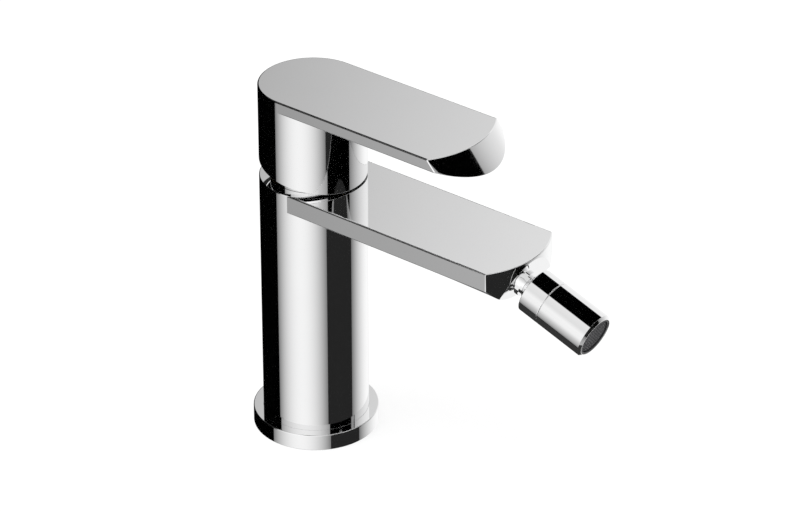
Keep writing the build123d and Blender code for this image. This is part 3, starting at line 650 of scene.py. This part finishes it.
def field_with_hole(angles, heights):
    """Wall about the plug's hole: each point of the field's border goes straight in to the circle."""
    angles = angles - np.pi
    border = np.concatenate([
        np.stack([angles[:-1], 0 * angles[:-1] + heights[0]], 1),
        np.stack([0 * heights[:-1] + angles[-1], heights[:-1]], 1),
        np.stack([angles[:0:-1], 0 * angles[:0:-1] + heights[-1]], 1),
        np.stack([0 * heights + angles[0], heights[::-1]], 1)])
    flat = border * (lever_half, 1) - (0, plug_height)
    bearing = np.arctan2(flat[:, 1], flat[:, 0])
    y, z = plug_radius * np.cos(bearing), plug_radius * np.sin(bearing) + plug_height
    hole = np.stack([np.arcsin(y / lever_half), z], 1)
    share = np.linspace(0, 1, 7)[:, None, None]
    at = border + share * (hole - border)
    out = np.stack([-np.cos(at[..., 0]), -np.sin(at[..., 0]), 0 * at[..., 0]], -1)
    wall = lever_half * out + at[..., 1:] * UP
    rim = wall[-1]
    floor = rim * (0, 1, 1) + np.array((plug_seat_x, 0, 0))
    centre = np.array((plug_seat_x, 0, plug_height))
    inward = unit((centre - floor) * (0, 1, 1))
    depth = np.linspace(0, 1, 3)[:, None, None]
    return [(wall, out), (rim + depth * (floor - rim), inward),
            (floor + depth * (centre - floor), np.array((-1.0, 0, 0)))]


def hub_patches(root, hub_line, wall_column):
    """Hub: front wall under the plate, rear wall with the plug's hole, rear of the top, the slanted
    bottom, and the hollow with its boss."""
    outer_rounding, inner_rounding = 0.15, 0.3
    side_columns, field_columns = 36, 16
    front = np.arcsin(np.clip(hub_line[:, 1] / lever_half, -1, 1))
    front[[0, -1]] = -np.pi / 2, np.pi / 2
    window = np.arcsin(plug_field / lever_half)
    rear = np.concatenate([np.linspace(np.pi / 2, np.pi - window, side_columns + 1)[:-1],
                           np.linspace(np.pi - window, np.pi + window, field_columns + 1)[:-1],
                           np.linspace(np.pi + window, 3 * np.pi / 2, side_columns + 1)])
    angle = np.concatenate([front[:-1], rear])
    out = np.stack([np.cos(angle), np.sin(angle), 0 * angle], 1)
    down = unit(np.array((-hub_slope, 0, -1.0)))
    rim = lever_half * out
    rim[:, 2] = hub_bottom - hub_slope * rim[:, 0]
    low, low_normals = rolled_edge(rim, out, down, outer_rounding)
    inner_rim = hub_inner * out
    inner_rim[:, 2] = hub_bottom - hub_slope * inner_rim[:, 0]
    inner, inner_normals = rolled_edge(inner_rim, down, -out, inner_rounding)
    thirds = np.linspace(0, 1, 4)[:, None, None]
    bottom = low[-1] + thirds * (inner[0] - low[-1])
    patches = [(low, low_normals), (bottom, down), (inner, inner_normals)]

    turns = len(front) - 1
    side_low = lever_top - lever_side
    marks = np.array((side_low, plug_height + plug_field, plug_height - plug_field, low[0, turns, 2]))
    steps = [5, 13, 5]
    shares = [np.linspace(marks[i], marks[i + 1], steps[i]) for i in range(3)]
    heights = np.concatenate([shares[0], shares[1][1:]])
    share = ((side_low - heights) / (side_low - marks[2]))[:, None, None]
    lower_share = ((shares[2] - marks[2]) / (marks[3] - marks[2]))[:, None, None]
    middle_front, front_out = hub_line * (1, 1, 0) + marks[2] * UP, out[:turns + 1]
    patches += [(hub_line + share * (middle_front - hub_line), front_out),
                (middle_front + lower_share * (low[0, :turns + 1] - middle_front), front_out)]

    back_out, back_low = out[turns:], low[0, turns:]
    upper = lever_half * back_out + wall_column[:, 2][:, None, None] * UP
    field = lever_half * back_out + heights[:, None, None] * UP
    lower_top = field[-1]
    lower = lower_top + lower_share * (back_low - lower_top)
    left, right = side_columns, side_columns + field_columns
    top_rows = field[:steps[0]]
    middle = field[steps[0] - 1:]
    patches += [(upper, back_out), (top_rows, back_out), (lower, back_out),
                (middle[:, :left + 1], back_out[:left + 1]), (middle[:, right:], back_out[right:])]
    patches += field_with_hole(rear[left:right + 1], shares[1])

    back_rim = lever_half * back_out + lever_top * UP
    edge, edge_normals = rolled_edge(back_rim, UP, back_out, lever_edge, 8)
    patches.append((edge, edge_normals))
    reach = np.abs(root[len(root) // 2:, 1])
    patches.append((reach[:, None, None] * back_out + lever_top * UP, UP))

    ceiling = hub_inner * out + hub_ceiling * UP
    inner_top = inner[-1]
    patches.append((inner_top + thirds * (ceiling - inner_top), -out))
    rings = [(hub_inner, hub_ceiling, -UP), (boss_radius, hub_ceiling, out),
             (boss_radius, boss_bottom, -UP), (socket_radius, boss_bottom, -out),
             (socket_radius, socket_top, -UP), (0, socket_top, None)]
    for (radius, height, normal), (next_radius, next_height, _) in zip(rings, rings[1:]):
        start, end = radius * out + height * UP, next_radius * out + next_height * UP
        patches.append((start + thirds * (end - start), normal))
    return patches


plate, plate_root, plate_hub_line, plate_wall = plate_patches()
plated("lever_plated", plate + hub_patches(plate_root, plate_hub_line, plate_wall),
       chrome, "lever", ["lever"])


# Screw plug
# Small moulded cap over the screw's hole at the back of the hub, pressed in by hand.
# It's grey to go with the chrome.

dress(soft_or_moulded("plug_moulding", (0.34, 0.34, 0.35), (0.44, 0.44, 0.45),
                      0.32, 0.12, 300, 0.08, 0.3),
      "screw_plug")


# Ball nipple and its seal
# Turned brass nipple screwed into the facet, with a flange, a neck and a polished ball on its end.
# The ball is what the nozzle swivels on; a rubber seal lies behind the flange.

ball_centre = np.array((119.611, 0, 106.334))
nozzle_radius = 9.95


def nipple_runs():
    """Outline of the nipple about the nozzle's axis, measured from the ball's centre."""
    ball, neck, bore, cut, flange, thread = 7.4, 4.5, 2.9, 5.0, 5.8, 5.0
    back, flange_back, flange_front = -17.76, -7.76, -6.76
    start = -sqrt(ball ** 2 - neck ** 2)
    turn = np.linspace(np.arctan2(neck, start), np.arctan2(sqrt(ball ** 2 - cut ** 2), cut), 24)
    arc = np.stack([np.sin(turn), np.cos(turn)], 1)
    flat = sqrt(ball ** 2 - cut ** 2)
    corners = [(bore, back), (thread, back), (thread, flange_back), (flange, flange_back),
               (flange, flange_front), (neck, flange_front), (neck, start)]
    runs = [straight(a, b) for a, b in zip(corners, corners[1:])]
    return runs + [(ball * arc, arc), straight((flat, cut), (bore, cut)),
                   straight((bore, cut), (bore, back))]


def on_nozzle(runs):
    """Runs turned round the nozzle's axis, from the ball's centre."""
    return turned(runs, ball_centre, nozzle_axis)


plated("ball_nipple_plated", on_nozzle(nipple_runs()), chrome, "root", ["ball_nipple"])
dress(seal_rubber, "nipple_seal", "aerator_gasket")


# Swivel sleeve and ball seat
# Rear sleeve of the nozzle, turned from brass and chrome plated; its lip traps the ball.
# A moulded seat of slippery plastic lies between the two.

nozzle_seam = 6.8


def sleeve_runs():
    """Outline of the rear sleeve: shoulder, outside, seam, bore, and the lip's hollow round the ball."""
    mouth, back, shoulder, bore, lip, hollow = 6.6, -4.1, -2.67, 8.75, -2.5, 7.65
    shoulder_rounding, seam_rounding = 0.25, 0.3
    edge = sqrt(hollow ** 2 - lip ** 2)
    end = np.arctan2(mouth, back)
    start = np.arctan2(edge, lip)
    turn = np.linspace(start, end, 8)
    arc = hollow * np.stack([np.sin(turn), np.cos(turn)], 1)
    corners = [arc[-1], (mouth, back), (nozzle_radius, shoulder), (nozzle_radius, nozzle_seam),
               (bore, nozzle_seam), (bore, lip), (edge, lip)]
    runs = outline(corners, [0, 0, shoulder_rounding, seam_rounding, 0, 0, 0])[:-1]
    return runs + [(arc, -arc / hollow)]


plated("swivel_sleeve_plated", on_nozzle(sleeve_runs()), chrome, "aerator",
       ["swivel_sleeve"])
dress(white_plastic, "ball_seat")


# Aerator housing
# Front sleeve of the nozzle, turned from brass and chrome plated, screwed into the rear one.
# It holds the regulator, the gasket and the aerator's insert.

def housing_runs():
    """Outline of the front sleeve with its bores, chamfered at the rim and at the seam."""
    front, rim, spigot, spigot_back = 30.2, 1.1, 8.73, 4.9
    bore, bore_end, ledge, ledge_end, throat = 8.6, 15.0, 7.95, 11.0, 7.3
    seam_rounding, rim_rounding, mouth_rounding = 0.3, 0.08, 0.1
    corners = [(spigot, nozzle_seam), (nozzle_radius, nozzle_seam), (nozzle_radius, front - rim),
               (nozzle_radius - rim, front), (bore, front), (bore, bore_end), (ledge, bore_end),
               (ledge, ledge_end), (throat, ledge_end), (throat, spigot_back), (spigot, spigot_back)]
    return outline(corners, [0, seam_rounding, rim_rounding, rim_rounding, mouth_rounding] + [0] * 6)


plated("aerator_housing_plated", on_nozzle(housing_runs()), chrome, "aerator",
       ["aerator_housing"])
dress(soft_or_moulded("regulator_moulding", (0.10, 0.26, 0.30), (0.16, 0.34, 0.38), 0.4, 0.15, 260, 0.1),
      "flow_regulator")


# Aerator insert and screen
# Moulded cup with ribs, its lip just inside the rim, and a fine stainless screen woven on a loom,
# pressed into the cup. Both are painted dark, painted shade of the nozzle's mouth: the wire dark grey, the
# cup black.

# The cup is dressed in the black moulding: painted shade of the nozzle's mouth.
dress(black_plastic, "aerator_insert")

screen_front, screen_radius, wire_radius, wire_pitch = 29.6, 7.68, 0.16, 0.72


def woven_screen(across):
    """Wires of one direction: each is a tube along a chord of the disc, closed at both ends. Its middle
    line rises and falls as a cosine of twice the weave's pitch, and its neighbours' the other way."""
    count, sides = int(screen_radius / wire_pitch), 6
    place = np.arange(-count, count + 1) * wire_pitch
    half = np.sqrt(screen_radius ** 2 - place ** 2) - wire_radius
    share = np.linspace(-1, 1, 4 * count + 3)
    share = np.concatenate([share[:1], share, share[-1:]])[:, None]
    thick = np.full(share.shape, wire_radius)
    thick[[0, -1]] = 0
    turn = np.linspace(0, 2 * np.pi, sides + 1)
    along = half[:, None, None] * share
    bend = np.cos(np.pi * along / wire_pitch + np.pi * (np.arange(len(place))[:, None, None] + across))
    side = place[:, None, None] + thick * np.cos(turn)
    height = screen_front - 2 * wire_radius + wire_radius * bend + thick * np.sin(turn)
    run = np.cross((0.0, 1.0, 0.0), nozzle_axis) if across else np.array((0.0, 1.0, 0.0))
    beside = np.cross(nozzle_axis, run)
    grid = (ball_centre + along[..., None] * run + side[..., None] * beside
            + height[..., None] * nozzle_axis)
    out = np.cos(turn)[:, None] * beside + np.sin(turn)[:, None] * nozzle_axis
    normals = np.where(thick[..., None] > 0, out, np.sign(share)[..., None] * run)
    return [(tube, normals) for tube in grid]


# The stainless wire is painted dark grey: painted shade of the nozzle's mouth.
painted_shade_wire = metal("screen_wire_painted_shade", (0.16, 0.16, 0.165), (0.30, 0.30, 0.31), 0.34, 0.2, 900, 0.1)
plated("aerator_screen", woven_screen(False) + woven_screen(True), painted_shade_wire, "aerator",
       ["aerator_mesh"])


# Studio
# Pale floor and one soft lamp overhead. Dull surfaces get plain light from all round, and the chrome
# mirrors a dark room with lit cloths along its walls, black flags and two soft boxes at its ceiling.

def studio_room():
    """World: white to the camera, plain light to dull surfaces, and to the chrome a room. Places in it
    are directions in degrees, by azimuth from X towards Y and by height over the horizon, and 1 is white.
    Lit cloths hang left and right of a dark drape, with other tones below the horizon than above it,
    under a black ceiling whose edge follows the azimuth and which holds two soft boxes."""
    world = bpy.data.worlds.new("studio")
    bpy.context.scene.world = world
    world.use_nodes = True
    tree = world.node_tree
    wire = Wire(tree)
    direction = wire.node("ShaderNodeTexCoord", output="Generated")
    x = wire.node("ShaderNodeSeparateXYZ", inputs={0: direction})
    y, z = (Wire(tree, x.socket.node.outputs[number]) for number in (1, 2))
    in_degrees = 180 / np.pi
    azimuth = wire.maths("ARCTAN2", y, x) * in_degrees
    height = wire.maths("ARCSINE", z) * in_degrees
    turned_away = wire.maths("ABSOLUTE", azimuth)

    def between(value, start, end):
        """Smooth step from 0 at start to 1 at end."""
        return wire.node("ShaderNodeMapRange", {"interpolation_type": "SMOOTHSTEP"},
                         {0: value, 1: start, 2: end})

    def lit_cloth(start, end, rim, middle):
        """Cloth lit from behind from one azimuth to another, rim at both ends and middle between them:
        rim + (middle - rim) * 4 t (1 - t), where t is the share of the way."""
        share = (azimuth - start) / (end - start)
        return (share > 0) * (share < 1) * (rim + (middle - rim) * 4 * share * (1 - share))

    def lit_walls(left, right, right_fade):
        """Both cloths, each by its ends and its two tones. The right one fades between two azimuths."""
        return lit_cloth(*left) + lit_cloth(*right) * (1 - between(azimuth, *right_fade))

    drape_left, drape_right, drape_tone = -24, 35.4, 0.018
    drape = drape_tone * (azimuth > drape_left) * (azimuth < drape_right)
    lower = lit_walls((-136, drape_left, 0.20, 0.95), (drape_right, 165, 0.17, 1.0), (127, 138)) + drape

    flag_left, flag_right, flag_height, flag_slope = -25, 42.3, 39.56, 0.18
    flag = ((height + flag_slope * azimuth > flag_height) * (azimuth < flag_right)
            * (azimuth > flag_left))
    climb_from, climb_start, climb_rate, climb_most = 112, 30, 0.037, 0.12
    climb = wire.maths("MINIMUM", climb_rate * (height - climb_start), climb_most)
    upper = lit_walls((-133, -20.8, 0.31, 0.87), (32, 175, 0.22, 0.89), (123, 143)) * (1 - flag)
    upper = upper * (1 + climb * (azimuth > climb_from))

    window_right, window_height, window_half, window_fade, window_gain = -40, 6, 6, 32, 0.3
    from_window = wire.maths("ABSOLUTE", height - window_height)
    window = (window_gain * (1 - between(from_window, window_half, window_fade))
              * (azimuth < window_right))
    blend = 12
    walls = (lower + (upper - lower) * between(height, -blend, blend)) * (1 + window)
    side_flag_low, side_flag_high, side_flag_right = -24, 27, -122
    side_flag = (height > side_flag_low) * (height < side_flag_high) * (azimuth < side_flag_right)

    ceiling_edge = [(-180, 60), (-92, 66), (-60, 50), (-35, 42), (0, 36), (45, 38), (75, 37), (100, 33.7),
                    (104, 36), (108, 57), (180, 60)]
    ceiling = 90 * wire.node("ShaderNodeValToRGB", {
        "stops": [((degrees + 180) / 360, edge / 90) for degrees, edge in ceiling_edge]},
        {0: (azimuth + 180) / 360})
    soft, floor_edge, floor_tone = 1.5, -54, 0.034
    below_ceiling = 1 - between(height - ceiling, -soft, soft)
    walls = walls * (1 - side_flag) * below_ceiling * (height > floor_edge)
    corner_edge, corner_left, corner_right = -38, -138, 135
    floor_corners = (height < corner_edge) * ((azimuth < corner_left) + (azimuth > corner_right))
    floor = floor_tone * wire.maths("MAXIMUM", floor_corners, height < floor_edge)

    box_edge, box_step, box_step_from, box_gap, box_tone = 44, 14, 85, 0.12, 0.77
    boxes = ((height - box_step * (turned_away > box_step_from) > box_edge)
             * (wire.maths("ABSOLUTE", x) > box_gap))
    rear_edge, rear_from, rear_tone = 38, 140, 0.024
    rear_drape = (height > rear_edge) * (turned_away > rear_from) * (1 - boxes)
    room = wire.maths("MAXIMUM", walls + floor, box_tone * boxes + rear_tone * rear_drape)

    path = wire.node("ShaderNodeLightPath")
    camera_ray, glossy_ray, clear_ray = (Wire(tree, path.socket.node.outputs[name]) for name in (
        "Is Camera Ray", "Is Glossy Ray", "Is Transmission Ray"))
    plain_light = 0.85
    shown = camera_ray + clear_ray
    strength = shown + (1 - shown) * (glossy_ray * room + (1 - glossy_ray) * plain_light)
    strength.to(tree.nodes["Background"], "Strength")
    tree.nodes["Background"].inputs["Color"].default_value = (1, 1, 1, 1)


studio_room()


def studio_floor():
    """Pale floor with the object's shadow, a hair below it and clear from underneath. The chrome looks
    through it into the room."""
    mesh = bpy.data.meshes.new("floor")
    reach, level = 3.0, -0.0002
    corners = [(-reach, -reach), (reach, -reach), (reach, reach), (-reach, reach)]
    mesh.from_pydata([(x, y, level) for x, y in corners], [], [(0, 1, 2, 3)])
    material, wire, shader = new_material("pale_floor")
    shader.inputs["Base Color"].default_value = (0.25, 0.25, 0.25, 1)
    shader.inputs["Roughness"].default_value = 1
    shader.inputs["Specular IOR Level"].default_value = 0
    shader.inputs["Emission Color"].default_value = (1, 1, 1, 1)
    shader.inputs["Emission Strength"].default_value = 0.8
    path = wire.node("ShaderNodeLightPath")
    mirrored_rays = Wire(wire.tree, path.socket.node.outputs["Is Glossy Ray"])
    from_below = wire.node("ShaderNodeNewGeometry", output="Backfacing")
    clear = wire.node("ShaderNodeBsdfTransparent")
    mix = wire.node("ShaderNodeMixShader", inputs={0: wire.maths("MAXIMUM", mirrored_rays, from_below),
                                                   1: Wire(wire.tree, shader.outputs[0]), 2: clear})
    mix.to(wire.tree.nodes["Material Output"], "Surface")
    floor = bpy.data.objects.new("floor", mesh)
    mesh.materials.append(material)
    bpy.context.scene.collection.objects.link(floor)


studio_floor()


def soft_lamp(name, place, target, size, power):
    """Round lamp that faces a point. The chrome doesn't mirror it."""
    lamp = bpy.data.lights.new(name, "AREA")
    lamp.shape, lamp.size, lamp.energy = "DISK", size, power
    holder = bpy.data.objects.new(name, lamp)
    holder.location = place
    holder.rotation_euler = (Vector(target) - Vector(place)).to_track_quat("-Z", "Y").to_euler()
    holder.visible_glossy = False
    bpy.context.scene.collection.objects.link(holder)


soft_lamp("overhead", place=(-0.3, -0.5, 1.6), target=(0.03, 0, 0.08), size=0.9, power=9)


# Camera
# Stands in front, to the left and above, at the photograph's place, with a long lens.

def photo_camera():
    """Camera whose axes come from its yaw and its pitch: X right, Y up, Z back."""
    camera = bpy.data.cameras.new("camera")
    camera.lens, camera.sensor_width, camera.sensor_fit = 177.13, 36, "HORIZONTAL"
    camera.clip_start, camera.clip_end = 0.05, 50
    holder = bpy.data.objects.new("camera", camera)
    bpy.context.scene.collection.objects.link(holder)
    yaw, pitch = 2.2463, 0.5238
    forward = Vector((cos(yaw) * cos(pitch), sin(yaw) * cos(pitch), -sin(pitch)))
    right = forward.cross(Vector((0, 0, 1))).normalized()
    up = right.cross(forward)
    turn = Matrix((right, up, -forward)).transposed().to_4x4()
    place = (0.93954, -1.11417, 0.92262)
    holder.matrix_world = Matrix.Translation(place) @ turn
    bpy.context.scene.camera = holder


photo_camera()
bpy.context.scene.view_settings.view_transform = "Standard"
